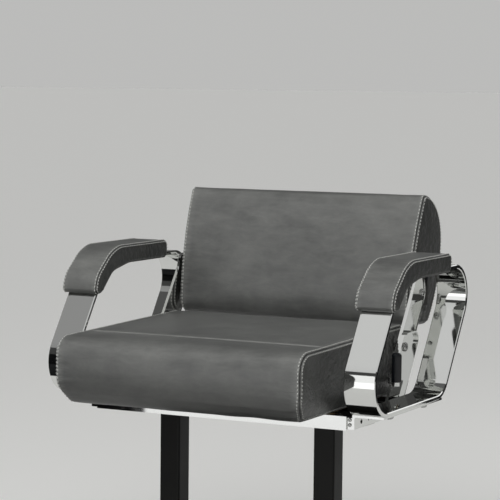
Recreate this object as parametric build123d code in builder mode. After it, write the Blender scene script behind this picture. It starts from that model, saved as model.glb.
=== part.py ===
from build123d import *
import os

os.makedirs("parts", exist_ok=True)

# A hair salon styling chair: a leather seat and a rolled backrest between two loop arms of chromed
# flat bar, carried by a chromed rail frame on two square posts and a floor plate. The backrest
# tilts back on two pivot bolts, and a hand lever on the +X side frees its lock.
# Millimetres. +X is the sitter's left, -Y the front, +Z up. The origin is on the floor, under the
# middle of the chair's outline. Profiles seen from the side are drawn on side_plane, whose
# heights count from the underside of the loop arms.

# --- driving dimensions ---
arm_base_z = 384.0  # underside of the loop arms above the floor
arm_outer_x = 330.0  # outer face of each loop arm
bar_width = 60.0
bar_thick = 8.0
arm_height = 244.5
arm_length = 379.5  # bottom run between its sharp corners
arm_front_y = -252.0  # sharp corner at the bottom front
arm_lean = 167.6  # how far the top of a leg stands behind its foot
arm_corner_r = 60.0

seat_half = 242.0
seat_front_y = -312.5
seat_rear_y = 134.0
seat_top = 131.0
back_half = 247.0

rail_thick = 4.0
rail_x = 264.0  # inner face of the side rails
rail_front_y = -143.0
rail_rear_y = 131.0
rail_depth = 28.0  # cross bars and covers reach this far below the arms
web_depth = 26.0  # the side rails' webs, a little less
rail_flange_x = 324.0
cover_thick = 3.0  # chromed front and rear covers

post_x = 160.5
post_y = -15.0
post_side = 42.0
post_wall = 3.0
base_top_z = 16.0
base_thick = 10.0
top_plate_thick = 6.0
cross_bar_offset = 48.0  # cross bars in front of and behind the posts

pivot_y = 92.0
pivot_z = 95.0
plate_x = 251.0  # inner face of the backrest plates
plate_thick = 6.0
bracket_x = 258.0  # inner face of the hinge brackets
bracket_thick = 6.0
sector_r = 46.0  # brake sector at the foot of each backrest plate

lever_y = 65.5
lever_z = 34.0
grip_x = 275.0
grip_y = 28.5
fit_clearance = 0.05


def side_plane(x):
    """The plane at x, seen from +X: its own x is the chair's Y, its own y the height."""
    return Plane(origin=(x, 0, arm_base_z), x_dir=(0, 1, 0), z_dir=(1, 0, 0))


def outline(points, radii):
    """A closed outline with a fillet at each corner."""
    with BuildSketch() as sketch:
        with BuildLine():
            Polyline(*points, close=True)
        make_face()
        for point, radius in zip(points, radii):
            if radius:
                corner = sketch.vertices().sort_by_distance((point[0], point[1], 0))[0]
                fillet(corner, radius)
    return sketch.sketch


def button_bolts(planes, shank_r, shank_length, head_r, head_height):
    """Button head socket screws: each plane lies under a head and faces away from the shank."""
    with BuildPart() as bolts:
        for plane in planes:
            with BuildSketch(plane):
                Circle(head_r)
            extrude(amount=head_height)
            rim = bolts.edges(Select.LAST).sort_by(Axis(plane.origin, plane.z_dir))[-1]
            fillet(rim, head_height * 0.75)
            with BuildSketch(plane.offset(head_height)):
                RegularPolygon(shank_r * 0.62, 6)
            extrude(amount=-head_height * 0.6, mode=Mode.SUBTRACT)
            with BuildSketch(plane):
                Circle(shank_r)
            extrude(amount=-shank_length)
    return bolts.part


def rings(planes, outer_r, inner_r, thick):
    """Washers, spacers or round nuts, each rising from its plane."""
    with BuildPart() as group:
        for plane in planes:
            with BuildSketch(plane):
                Circle(outer_r)
                Circle(inner_r, mode=Mode.SUBTRACT)
            extrude(amount=thick)
    return group.part


def hex_nuts(planes, across_corners_r, inner_r, thick):
    """Hexagon nuts, each rising from its plane."""
    with BuildPart() as group:
        for plane in planes:
            with BuildSketch(plane):
                RegularPolygon(across_corners_r, 6)
                Circle(inner_r, mode=Mode.SUBTRACT)
            extrude(amount=thick)
    return group.part


def mirrored(part):
    """The same piece on the -X side."""
    with BuildPart() as other:
        mirror(part, about=Plane.YZ)
    return other.part


def facing(side, x, y, height):
    """A plane at side * x that faces away from the middle of the chair."""
    return Plane(origin=(side * x, y, arm_base_z + height), z_dir=(side, 0, 0))


def level(x, y, z, up=1):
    """A level plane facing up or down."""
    return Plane(origin=(x, y, z), z_dir=(0, 0, up))


def save(part, name):
    part.label = name
    export_step(part, f"parts/{name}.step")


SIDES = {"right": -1, "left": 1}

# --- stand: floor plate, glides, posts and their top plates ---
base_size_x = 560.0
base_size_y = 480.0
glide_r = 20.0
glide_x = 235.0
glide_y = 195.0

with BuildPart() as base_plate:
    with BuildSketch(level(0, post_y, base_top_z - base_thick)):
        RectangleRounded(base_size_x, base_size_y, 45)
    extrude(amount=base_thick)
    chamfer(base_plate.edges().group_by(Axis.Z)[-1], 2.5)
save(base_plate.part, "base_plate")

with BuildPart() as base_glides:
    with BuildSketch(level(0, post_y, 0)):
        with GridLocations(2 * glide_x, 2 * glide_y, 2, 2):
            Circle(glide_r)
    extrude(amount=base_top_z - base_thick)
    chamfer(base_glides.edges().group_by(Axis.Z)[0], 1)
save(base_glides.part, "base_glides")

frame_bottom_z = arm_base_z - rail_depth
post_top_z = frame_bottom_z - top_plate_thick
plate_bolt_x = 42.0
top_plate_x = 116.0
top_plate_y = 132.0

for name, side in SIDES.items():
    with BuildPart() as post:
        with BuildSketch(level(side * post_x, post_y, base_top_z)):
            RectangleRounded(post_side, post_side, 4)
            RectangleRounded(
                post_side - 2 * post_wall, post_side - 2 * post_wall, 1.5, mode=Mode.SUBTRACT
            )
        extrude(amount=post_top_z - base_top_z)
    save(post.part, f"post_{name}")

    with BuildPart() as top_plate:
        with BuildSketch(level(side * post_x, post_y, post_top_z)):
            RectangleRounded(top_plate_x, top_plate_y, 8)
            with GridLocations(2 * plate_bolt_x, 2 * cross_bar_offset, 2, 2):
                Circle(4.2, mode=Mode.SUBTRACT)
        extrude(amount=top_plate_thick)
    save(top_plate.part, f"post_top_plate_{name}")

post_bolt_spots = [
    (side * post_x + dx, post_y + dy)
    for side in SIDES.values()
    for dx in (-plate_bolt_x, plate_bolt_x)
    for dy in (-cross_bar_offset, cross_bar_offset)
]
post_bolt_planes = [level(x, y, post_top_z, up=-1) for x, y in post_bolt_spots]
save(button_bolts(post_bolt_planes, 4, 20, 7, 4.4), "post_bolts")
post_nut_planes = [level(x, y, frame_bottom_z + rail_thick) for x, y in post_bolt_spots]
save(hex_nuts(post_nut_planes, 7.5, 4.0 + fit_clearance, 6.5), "post_nuts")

# --- rail frame: two side rails, two cross bars, two ties and their covers ---
cross_bar_width = 40.0
cross_bar_top = -4.0
cross_end = 8.0
arm_bolt_x = 314.0
arm_bolt_ys = (post_y - 78.5, post_y + 78.5)
tie_size = 20.0
tie_z = -16.0
tab_inner_x = 240.0
tab_screw_x = 259.5
tab_screw_zs = (-9.0, -18.0)
tab_top_z = -5.5
cross_bolt_dy = 12.0
cross_rear_y = post_y + cross_bar_offset
adjust_hole_y = -112.0
small_hole_ys = (-80.0, -68.0, -56.0, -44.0)
seat_screw_x = 80.0

with BuildPart() as side_rail:
    with BuildSketch(Plane.XZ.offset(-rail_front_y)):
        with BuildLine():
            Polyline(
                (rail_x, arm_base_z - web_depth),
                (rail_x + rail_thick, arm_base_z - web_depth),
                (rail_x + rail_thick, arm_base_z - rail_thick),
                (rail_flange_x, arm_base_z - rail_thick),
                (rail_flange_x, arm_base_z),
                (rail_x, arm_base_z),
                close=True,
            )
        make_face()
    extrude(amount=rail_front_y - rail_rear_y)
    inner_bend = side_rail.edges().filter_by(Axis.Y).sort_by_distance(
        (rail_x + rail_thick, 0, arm_base_z - rail_thick)
    )[0]
    fillet(inner_bend, 3)
    # end tabs, folded inwards
    for tab_y in (rail_front_y, rail_rear_y - rail_thick):
        with BuildSketch(level(0, 0, arm_base_z - web_depth)):
            with Locations(((tab_inner_x + rail_x) / 2, tab_y + rail_thick / 2)):
                Rectangle(rail_x - tab_inner_x, rail_thick)
        extrude(amount=web_depth + tab_top_z)
    # holes in the web: two for the rear cross bar, an adjusting hole and a row of small ones
    with BuildSketch(side_plane(rail_x)):
        for dy in (-cross_bolt_dy, cross_bolt_dy):
            with Locations((cross_rear_y + dy, tie_z)):
                Circle(4.2)
        with Locations((adjust_hole_y, tie_z + 1)):
            Circle(4.5)
        with Locations(*[(y, tie_z) for y in small_hole_ys]):
            Circle(2.0)
    extrude(amount=rail_thick, mode=Mode.SUBTRACT)
    with BuildSketch(level(0, 0, arm_base_z)):
        with Locations(*[(arm_bolt_x, y) for y in arm_bolt_ys]):
            Circle(4.2)
    extrude(amount=-rail_thick, mode=Mode.SUBTRACT)
    for tab_face_y, inwards in ((rail_front_y, -1), (rail_rear_y, 1)):
        with BuildSketch(Plane.XZ.offset(-tab_face_y)):
            with Locations(*[(tab_screw_x, arm_base_z + z) for z in tab_screw_zs]):
                Circle(2.1)
        extrude(amount=inwards * rail_thick, mode=Mode.SUBTRACT)
save(side_rail.part, "side_rail_left")
save(mirrored(side_rail.part), "side_rail_right")

# U-shaped cross bars, open at the top: the front one is welded between the rails, and the rear
# one is bolted through the hinge brackets
for name, bar_y, half_length in (
    ("front", post_y - cross_bar_offset, rail_x),
    ("rear", post_y + cross_bar_offset, bracket_x),
):
    with BuildPart() as cross_bar:
        with BuildSketch(level(0, bar_y, frame_bottom_z)):
            Rectangle(2 * half_length, cross_bar_width)
        extrude(amount=rail_depth + cross_bar_top)
        with BuildSketch(level(0, bar_y, frame_bottom_z + rail_thick)):
            Rectangle(2 * (half_length - cross_end), cross_bar_width - 2 * rail_thick)
        extrude(amount=rail_depth, mode=Mode.SUBTRACT)
        with BuildSketch(level(0, bar_y, frame_bottom_z)):
            for side in SIDES.values():
                with Locations((side * post_x, 0)):
                    with GridLocations(2 * plate_bolt_x, 1, 2, 1):
                        Circle(4.2)
            with GridLocations(2 * seat_screw_x, 1, 2, 1):
                Circle(3.2)
        extrude(amount=rail_thick, mode=Mode.SUBTRACT)
        if name == "rear":
            with BuildSketch(side_plane(-half_length)):
                for dy in (-cross_bolt_dy, cross_bolt_dy):
                    with Locations((bar_y + dy, tie_z)):
                        Circle(4.0 + fit_clearance)
            extrude(amount=2 * half_length, mode=Mode.SUBTRACT)
    save(cross_bar.part, f"cross_bar_{name}")

# ties between the rail tabs, and the chromed angles that cover them
cover_half = 254.0
for name, tab_y, inwards in (("front", rail_front_y, 1), ("rear", rail_rear_y, -1)):
    tie_face_y = tab_y + inwards * rail_thick
    with BuildPart() as tie:
        with BuildSketch(level(0, tie_face_y + inwards * tie_size / 2, arm_base_z + tie_z)):
            Rectangle(2 * rail_x, tie_size)
        extrude(amount=tie_size / 2, both=True)
        for side in SIDES.values():
            with BuildSketch(Plane.XZ.offset(-tie_face_y)):
                with Locations(*[(side * tab_screw_x, arm_base_z + z) for z in tab_screw_zs]):
                    Circle(2.0 + fit_clearance)
            extrude(amount=-inwards * 11, mode=Mode.SUBTRACT)
    save(tie.part, f"rail_tie_{name}")

    cover_face_y = tab_y - inwards * 0.5
    flange_end_y = tie_face_y + inwards * tie_size
    with BuildPart() as cover:
        with BuildSketch(level(0, cover_face_y - inwards * cover_thick / 2, frame_bottom_z)):
            Rectangle(2 * cover_half, cover_thick)
        extrude(amount=rail_depth - 3)
        with BuildSketch(level(0, (cover_face_y + flange_end_y) / 2, arm_base_z - 6)):
            Rectangle(2 * tab_inner_x - 8, abs(flange_end_y - cover_face_y))
        extrude(amount=cover_thick)
    save(cover.part, f"{name}_cover")

tab_screw_planes = [
    Plane(origin=(side * tab_screw_x, tab_y, arm_base_z + z), z_dir=(0, out, 0))
    for side in SIDES.values()
    for tab_y, out in ((rail_front_y, -1), (rail_rear_y, 1))
    for z in tab_screw_zs
]
save(button_bolts(tab_screw_planes, 2, 14, 3.5, 2.4), "tie_screws")

cross_bolt_planes = [
    facing(side, rail_x + rail_thick, cross_rear_y + dy, tie_z)
    for side in SIDES.values()
    for dy in (-cross_bolt_dy, cross_bolt_dy)
]
save(button_bolts(cross_bolt_planes, 4, 17.5, 7, 4.4), "cross_bar_bolts")

# --- seat: plywood board, its screws, and the upholstered cushion ---
board_half = 212.0
board_front_y = -114.0
board_rear_y = 105.0
board_thick = 12.0
board_top = cross_bar_top + board_thick

with BuildPart() as seat_board:
    with BuildSketch(level(0, (board_front_y + board_rear_y) / 2, arm_base_z + cross_bar_top)):
        RectangleRounded(2 * board_half, board_rear_y - board_front_y, 15)
    extrude(amount=board_thick)
    with BuildSketch(level(0, post_y, arm_base_z + cross_bar_top)):
        with GridLocations(2 * seat_screw_x, 2 * cross_bar_offset, 2, 2):
            Circle(3.0 + fit_clearance)
    extrude(amount=9, mode=Mode.SUBTRACT)
save(seat_board.part, "seat_board")

seat_screw_planes = [
    level(x, post_y + dy, frame_bottom_z, up=-1)
    for x in (-seat_screw_x, seat_screw_x)
    for dy in (-cross_bar_offset, cross_bar_offset)
]
save(button_bolts(seat_screw_planes, 3, 32, 5.2, 3.3), "seat_screws")

seat_profile = outline(
    [
        (seat_rear_y, 2),
        (seat_rear_y, seat_top),
        (seat_front_y, seat_top - 7),
        (seat_front_y, 34),
        (seat_front_y + 34, 2),
    ],
    [6, 10, 34, 30, 20],
)
with BuildPart() as seat_cushion:
    with BuildSketch(side_plane(-seat_half)):
        add(seat_profile)
    extrude(amount=2 * seat_half)
    fillet(seat_cushion.faces().filter_by(Axis.X).edges(), 5)
    with BuildSketch(level(0, (board_front_y + board_rear_y) / 2, arm_base_z)):
        RectangleRounded(2 * board_half + 0.6, board_rear_y - board_front_y + 0.6, 15.3)
    extrude(amount=board_top, mode=Mode.SUBTRACT)
save(seat_cushion.part, "seat_cushion")

# --- arms: loops of flat bar, pads over them, and what holds both ---
arm_top_front_y = arm_front_y + arm_lean
arm_corners = [
    (arm_front_y, 0),
    (arm_front_y + arm_length, 0),
    (arm_front_y + arm_length + arm_lean, arm_height),
    (arm_top_front_y, arm_height),
]
arm_outline = outline(arm_corners, [arm_corner_r] * 4)
pad_screw_ys = (-28.0, 38.0, 104.0)
arm_mid_x = arm_outer_x - bar_width / 2

with BuildPart() as arm_loop:
    with BuildSketch(side_plane(arm_outer_x - bar_width)):
        add(arm_outline)
        offset(amount=-bar_thick, mode=Mode.SUBTRACT)
    extrude(amount=bar_width)
    chamfer(arm_loop.faces().filter_by(Axis.X).edges(), 1.4)
    with BuildSketch(level(0, 0, arm_base_z)):
        with Locations(*[(arm_bolt_x, y) for y in arm_bolt_ys]):
            Circle(4.0 + fit_clearance)
    extrude(amount=6.5, mode=Mode.SUBTRACT)
    with BuildSketch(level(0, 0, arm_base_z + arm_height)):
        with Locations(*[(arm_mid_x, y) for y in pad_screw_ys]):
            Circle(2.7)
    extrude(amount=-bar_thick, mode=Mode.SUBTRACT)
save(arm_loop.part, "arm_loop_left")
save(mirrored(arm_loop.part), "arm_loop_right")

arm_bolt_planes = [
    level(side * arm_bolt_x, y, arm_base_z - rail_thick - 1.6, up=-1)
    for side in SIDES.values()
    for y in arm_bolt_ys
]
save(button_bolts(arm_bolt_planes, 4, 11.5, 7, 4.4), "arm_bolts")
save(rings([plane.offset(-1.6) for plane in arm_bolt_planes], 8.0, 4.2, 1.6), "arm_washers")

pad_board_front_y = -46.0
pad_board_rear_y = 122.0
pad_board_thick = 6.0
pad_side = 7.5  # how far the pad stands out past each edge of the bar
pad_top = 270.0
pad_rear_y = 137.5
pad_front_y = -137.5
pad_foot = 183.0

with BuildPart() as arm_pad_board:
    with BuildSketch(
        level(arm_mid_x, (pad_board_front_y + pad_board_rear_y) / 2, arm_base_z + arm_height)
    ):
        RectangleRounded(bar_width - 4, pad_board_rear_y - pad_board_front_y, 6)
    extrude(amount=pad_board_thick)
    with BuildSketch(level(0, 0, arm_base_z + arm_height)):
        with Locations(*[(arm_mid_x, y) for y in pad_screw_ys]):
            Circle(2.5 + fit_clearance)
    extrude(amount=4.6, mode=Mode.SUBTRACT)
save(arm_pad_board.part, "arm_pad_board_left")
save(mirrored(arm_pad_board.part), "arm_pad_board_right")

pad_profile = outline(
    [
        (pad_rear_y, 233.5),
        (pad_rear_y, pad_top),
        (-68.0, pad_top),
        (pad_front_y, 213.0),
        (pad_front_y, pad_foot),
        (-113.0, pad_foot),
        (-72.0, 222.0),
        (-10.0, 233.5),
    ],
    [6, 9, 60, 40, 4, 15, 35, 60],
)
with BuildPart() as arm_pad:
    with BuildSketch(side_plane(arm_outer_x - bar_width - pad_side)):
        add(pad_profile)
    extrude(amount=bar_width + 2 * pad_side)
    with BuildSketch(side_plane(arm_outer_x - bar_width - 0.3)):
        add(arm_outline)
        offset(amount=0.3)
    extrude(amount=bar_width + 0.6, mode=Mode.SUBTRACT)
    with BuildSketch(
        level(arm_mid_x, (pad_board_front_y + pad_board_rear_y) / 2, arm_base_z + arm_height)
    ):
        Rectangle(bar_width - 3.4, pad_board_rear_y - pad_board_front_y + 0.6)
    extrude(amount=pad_board_thick + 0.3, mode=Mode.SUBTRACT)
save(arm_pad.part, "arm_pad_left")
save(mirrored(arm_pad.part), "arm_pad_right")

pad_screw_planes = [
    level(side * arm_mid_x, y, arm_base_z + arm_height - bar_thick, up=-1)
    for side in SIDES.values()
    for y in pad_screw_ys
]
save(button_bolts(pad_screw_planes, 2.5, 12.5, 4.6, 2.6), "arm_pad_screws")

# --- backrest: rolled cushion on a hardwood core, and the two plates that carry it ---
back_foot_y = 169.5
back_bottom = 124.5
back_top = 371.0
core_y = 208.0
core_z = 205.0
core_size_y = 52.0
core_size_z = 90.0
back_screw_spots = ((191.0, 188.0), (201.0, 224.0))

with BuildPart() as back_cushion:
    with BuildSketch(side_plane(-back_half)) as back_profile:
        with BuildLine():
            ThreePointArc((back_foot_y, back_bottom), (158.5, 129.0), (153.8, 140.0))
            ThreePointArc((153.8, 140.0), (168.0, 245.0), (209.5, 362.0))
            ThreePointArc((209.5, 362.0), (213.5, 369.0), (221.0, back_top))
            ThreePointArc((221.0, back_top), (287.0, 338.0), (312.5, 268.0))
            ThreePointArc((312.5, 268.0), (300.0, 193.0), (257.6, 122.0))
            Line((257.6, 122.0), (back_foot_y, back_bottom))
        make_face()
    extrude(amount=2 * back_half)
    with BuildSketch(side_plane(-back_half)):
        with Locations((core_y, core_z)):
            Rectangle(core_size_y + 0.6, core_size_z + 0.6)
    extrude(amount=2 * back_half, mode=Mode.SUBTRACT)
save(back_cushion.part, "back_cushion")

with BuildPart() as back_core:
    with BuildSketch(side_plane(-plate_x)):
        with Locations((core_y, core_z)):
            Rectangle(core_size_y, core_size_z)
    extrude(amount=2 * plate_x)
    for start in (-plate_x, plate_x - 24):
        with BuildSketch(side_plane(start)):
            with Locations(*back_screw_spots):
                Circle(4.0 + fit_clearance)
        extrude(amount=24, mode=Mode.SUBTRACT)
save(back_core.part, "back_core")

plate_outline = outline(
    [
        (164.3, 215.0),
        (171.5, 240.0),
        (227.5, 240.0),
        (219.7, 214.4),
        (206.6, 177.6),
        (168.6, 118.3),
        (118.0, 62.0),
        (56.5, 62.0),
    ],
    [40, 14, 18, 0, 60, 0, 12, 0],
)
with BuildPart() as back_plate:
    with BuildSketch(side_plane(plate_x)):
        add(plate_outline)
        with Locations((pivot_y, pivot_z)):
            Circle(sector_r)
    extrude(amount=plate_thick)
    # the front edge runs straight past the pivot, and the brake sector is round below it
    with BuildSketch(side_plane(plate_x)):
        with BuildLine():
            Polyline((164.3, 215), (56.5, 62.0), (30, 62), (30, 215), close=True)
        make_face()
    extrude(amount=plate_thick, mode=Mode.SUBTRACT)
    chamfer(back_plate.faces().sort_by(Axis.X)[-1].edges(), 0.8)
    with BuildSketch(side_plane(plate_x)):
        with Locations((pivot_y, pivot_z)):
            Circle(6.5 + fit_clearance)
        with Locations(*back_screw_spots):
            Circle(4.2)
    extrude(amount=plate_thick, mode=Mode.SUBTRACT)
save(back_plate.part, "back_plate_left")
save(mirrored(back_plate.part), "back_plate_right")

back_screw_planes = [
    facing(side, plate_x + plate_thick, y, z)
    for side in SIDES.values()
    for y, z in back_screw_spots
]
save(button_bolts(back_screw_planes, 4, 28, 7, 4.2), "back_screws")

# --- hinge: rimmed brackets on the rails, pivot bolts, bushes, spacers and nuts ---
bracket_points = [(-1.6, -26.0), (63.3, -26.0), (162.3, 121.0), (92.3, 121.0)]
bracket_outline = outline(bracket_points, [3, 3, 16, 10])
rim_points = [(y - 4.2, z - 3.0) for y, z in bracket_points]
rim_cut = outline(rim_points, [3, 3, 14, 0])
rim_height = 5.0

with BuildPart() as hinge_bracket:
    with BuildSketch(side_plane(bracket_x)):
        add(bracket_outline)
    extrude(amount=bracket_thick)
    with BuildSketch(side_plane(bracket_x + bracket_thick)):
        add(bracket_outline)
        add(rim_cut, mode=Mode.SUBTRACT)
        with Locations((pivot_y, -28.5)):
            Rectangle(200, 62, mode=Mode.SUBTRACT)
    extrude(amount=rim_height)
    with BuildSketch(side_plane(bracket_x)):
        with Locations((pivot_y, pivot_z)):
            Circle(5.0 + fit_clearance)
        with Locations((lever_y, lever_z)):
            Circle(6.0 + fit_clearance)
        for dy in (-cross_bolt_dy, cross_bolt_dy):
            with Locations((cross_rear_y + dy, tie_z)):
                Circle(4.2)
    extrude(amount=bracket_thick, mode=Mode.SUBTRACT)
save(hinge_bracket.part, "hinge_bracket_left")
save(mirrored(hinge_bracket.part), "hinge_bracket_right")

bracket_face_x = bracket_x + bracket_thick
pivot_head_planes = [facing(side, bracket_face_x, pivot_y, pivot_z) for side in SIDES.values()]
save(button_bolts(pivot_head_planes, 5, 18, 8.5, 4.6), "pivot_bolts")
pivot_plate_planes = [facing(side, plate_x, pivot_y, pivot_z) for side in SIDES.values()]
save(rings(pivot_plate_planes, 6.5, 5.0 + fit_clearance, plate_thick), "pivot_bushes")
spacer_planes = [plane.offset(plate_thick + 0.05) for plane in pivot_plate_planes]
save(rings(spacer_planes, 11.0, 5.0 + fit_clearance, 0.9), "pivot_spacers")
nut_planes = [plane.offset(-4.6) for plane in pivot_plate_planes]
save(hex_nuts(nut_planes, 9.4, 5.0 + fit_clearance, 4.5), "pivot_nuts")

# --- lock: lever with its grip, cross shaft, bush, brake cam, spring and retaining ring ---
shaft_r = 4.0
shaft_inner_x = 244.0
lever_x = bracket_face_x + 1.0
lever_thick = 4.0
lever_width = 8.0
cam_offset = 3.0
reach = ((pivot_y - lever_y) ** 2 + (pivot_z - lever_z) ** 2) ** 0.5
cam_r = reach - sector_r - 0.3 - cam_offset
to_pivot_y = (pivot_y - lever_y) / reach
to_pivot_z = (pivot_z - lever_z) / reach
grip_r = 9.2
grip_bottom = 38.0
grip_height = 54.0

with BuildPart() as lever_shaft:
    with BuildSketch(side_plane(shaft_inner_x)):
        with Locations((lever_y, lever_z)):
            Circle(shaft_r)
    extrude(amount=lever_x + lever_thick - shaft_inner_x)
    with BuildSketch(side_plane(shaft_inner_x + 1)):
        with Locations((lever_y, lever_z)):
            Circle(shaft_r + 1)
            Circle(shaft_r - 0.5, mode=Mode.SUBTRACT)
    extrude(amount=1, mode=Mode.SUBTRACT)
save(lever_shaft.part, "lever_shaft")

with BuildPart() as lever_bush:
    with BuildSketch(side_plane(bracket_x)):
        with Locations((lever_y, lever_z)):
            Circle(6.0)
            Circle(shaft_r + fit_clearance, mode=Mode.SUBTRACT)
    extrude(amount=bracket_thick)
    with BuildSketch(side_plane(bracket_face_x)):
        with Locations((lever_y, lever_z)):
            Circle(8.0)
            Circle(shaft_r + fit_clearance, mode=Mode.SUBTRACT)
    extrude(amount=0.8)
save(lever_bush.part, "lever_bush")

with BuildPart() as lock_cam:
    with BuildSketch(side_plane(plate_x)):
        with Locations((lever_y + cam_offset * to_pivot_y, lever_z + cam_offset * to_pivot_z)):
            Circle(cam_r)
        with Locations((lever_y, lever_z)):
            Circle(shaft_r, mode=Mode.SUBTRACT)
    extrude(amount=plate_thick)
save(lock_cam.part, "lock_cam")

with BuildPart() as release_lever:
    with BuildSketch(side_plane(lever_x)):
        with Locations(((lever_y + grip_y) / 2, lever_z)):
            SlotCenterToCenter(lever_y - grip_y, lever_width)
        with Locations((lever_y, lever_z)):
            Circle(8.5)
            Circle(shaft_r, mode=Mode.SUBTRACT)
    extrude(amount=lever_thick)
    with BuildSketch(level(grip_x, grip_y, arm_base_z + grip_bottom)):
        Circle(grip_r - 1.2)
    extrude(amount=-7)
    with BuildSketch(level(grip_x, grip_y, arm_base_z + grip_bottom)):
        Circle(3.5)
    extrude(amount=36)
save(release_lever.part, "release_lever")

with BuildPart() as lever_grip:
    with BuildSketch(level(grip_x, grip_y, arm_base_z + grip_bottom)):
        Circle(grip_r)
    extrude(amount=grip_height)
    fillet(lever_grip.edges().group_by(Axis.Z)[-1], 6.5)
    fillet(lever_grip.edges().group_by(Axis.Z)[0], 1)
    with BuildSketch(level(grip_x, grip_y, arm_base_z + grip_bottom)):
        Circle(3.5)
    extrude(amount=36, mode=Mode.SUBTRACT)
save(lever_grip.part, "lever_grip")

with BuildPart() as lever_clip:
    with BuildSketch(side_plane(shaft_inner_x + 1)):
        with Locations((lever_y, lever_z)):
            Circle(shaft_r + 3)
            Circle(shaft_r - 0.5, mode=Mode.SUBTRACT)
    extrude(amount=0.95)
save(lever_clip.part, "lever_clip")

spring_wire_r = 0.6
spring_r = 6.0
spring_x = 246.8
with BuildPart() as lever_spring:
    with BuildLine() as coil:
        Helix(
            pitch=1.4,
            height=3.3,
            radius=spring_r,
            center=(spring_x, lever_y, arm_base_z + lever_z),
            direction=(1, 0, 0),
        )
    with BuildSketch(Plane(origin=coil.line @ 0, z_dir=coil.line % 0)):
        Circle(spring_wire_r)
    sweep(is_frenet=True)
save(lever_spring.part, "lever_spring")
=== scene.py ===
import math

import bmesh
import bpy
from mathutils import Matrix, Vector, noise
from mathutils.bvhtree import BVHTree


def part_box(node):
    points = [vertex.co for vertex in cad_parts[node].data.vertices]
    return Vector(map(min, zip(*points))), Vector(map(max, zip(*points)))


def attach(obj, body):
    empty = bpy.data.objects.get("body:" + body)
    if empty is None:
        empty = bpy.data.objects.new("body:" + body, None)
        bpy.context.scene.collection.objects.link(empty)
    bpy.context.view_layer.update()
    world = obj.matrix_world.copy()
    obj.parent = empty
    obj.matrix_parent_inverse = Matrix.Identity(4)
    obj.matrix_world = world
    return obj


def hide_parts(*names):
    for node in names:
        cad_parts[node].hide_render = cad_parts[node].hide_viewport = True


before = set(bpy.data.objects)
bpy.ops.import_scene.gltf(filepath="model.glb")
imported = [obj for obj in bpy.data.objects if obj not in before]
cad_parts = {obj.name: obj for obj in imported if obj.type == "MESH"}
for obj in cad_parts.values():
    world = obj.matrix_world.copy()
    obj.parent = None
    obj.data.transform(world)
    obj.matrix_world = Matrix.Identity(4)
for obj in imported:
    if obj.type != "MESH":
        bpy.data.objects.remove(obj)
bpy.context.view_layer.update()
MM = 0.001

# ---------------------------------------------------------------------------------------------
# Camera: a long lens a little above the arms, seen from the sitter's left front.
# ---------------------------------------------------------------------------------------------
camera_azimuth = math.radians(26.66)
camera_elevation = math.radians(4.6)
camera_roll = math.radians(0.59)
camera_target = Vector((-18.9, 13.5, 651.5)) * MM
camera_distance = 3.9377

camera_back = Vector((
    math.sin(camera_azimuth) * math.cos(camera_elevation),
    -math.cos(camera_azimuth) * math.cos(camera_elevation),
    math.sin(camera_elevation),
))
level_right = Vector((math.cos(camera_azimuth), math.sin(camera_azimuth), 0))
level_up = camera_back.cross(level_right)
camera_right = level_right * math.cos(camera_roll) + level_up * math.sin(camera_roll)
camera_up = level_up * math.cos(camera_roll) - level_right * math.sin(camera_roll)
camera_lens = bpy.data.cameras.new("studio_camera")
camera_lens.lens = 151.5
camera_lens.sensor_width = 36
camera = bpy.data.objects.new("studio_camera", camera_lens)
bpy.context.collection.objects.link(camera)
camera.matrix_world = (
    Matrix.Translation(camera_target + camera_back * camera_distance)
    @ Matrix((camera_right, camera_up, camera_back)).transposed().to_4x4()
)
bpy.context.scene.camera = camera
bpy.context.scene.view_settings.view_transform = "Standard"


# ---------------------------------------------------------------------------------------------
# Studio: a pale matt floor in a dim surround, under softboxes above the front, at the left and
# behind, and a soft ceiling bounce. Two panels and three black boards are for the chrome to mirror.
# ---------------------------------------------------------------------------------------------
def linear(code):
    """An sRGB hex value as linear red, green, blue and alpha."""
    parts = [int(code[i : i + 2], 16) / 255 for i in (1, 3, 5)]
    return (*[p / 12.92 if p <= 0.04045 else ((p + 0.055) / 1.055) ** 2.4 for p in parts], 1)


def add_node(tree, kind, settings=None, links=None):
    """Adds a node. Settings name its own properties or its sockets, and links name its sockets."""
    node = tree.nodes.new(kind)
    for name, value in (settings or {}).items():
        if isinstance(name, str) and hasattr(node, name):
            setattr(node, name, value)
        else:
            node.inputs[name].default_value = value
    for name, source in (links or {}).items():
        tree.links.new(source, node.inputs[name])
    return node


def new_material(name):
    """An empty material and its node tree."""
    material = bpy.data.materials.new(name)
    material.use_nodes = True
    material.node_tree.nodes.clear()
    return material, material.node_tree


def object_from(bm, name, material=None):
    """The finished bmesh as an object at the origin."""
    mesh = bpy.data.meshes.new(name)
    bm.to_mesh(mesh)
    bm.free()
    piece = bpy.data.objects.new(name, mesh)
    bpy.context.collection.objects.link(piece)
    if material:
        mesh.materials.append(material)
    return piece


floor_half = 200.0
floor_mesh = bmesh.new()
bmesh.ops.create_grid(floor_mesh, x_segments=1, y_segments=1, size=floor_half)
studio_floor = object_from(floor_mesh, "studio_floor")
floor_paint, tree = new_material("matt_floor_paint")
shader = add_node(tree, "ShaderNodeBsdfPrincipled", {
    "Base Color": linear("#e9e9e6"), "Roughness": 0.85, "Specular IOR Level": 0.2,
    "Emission Color": linear("#ffffff"), "Emission Strength": 0.13,
})
add_node(tree, "ShaderNodeOutputMaterial", links={"Surface": shader.outputs[0]})
studio_floor.data.materials.append(floor_paint)
studio_floor.visible_diffuse = False

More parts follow.
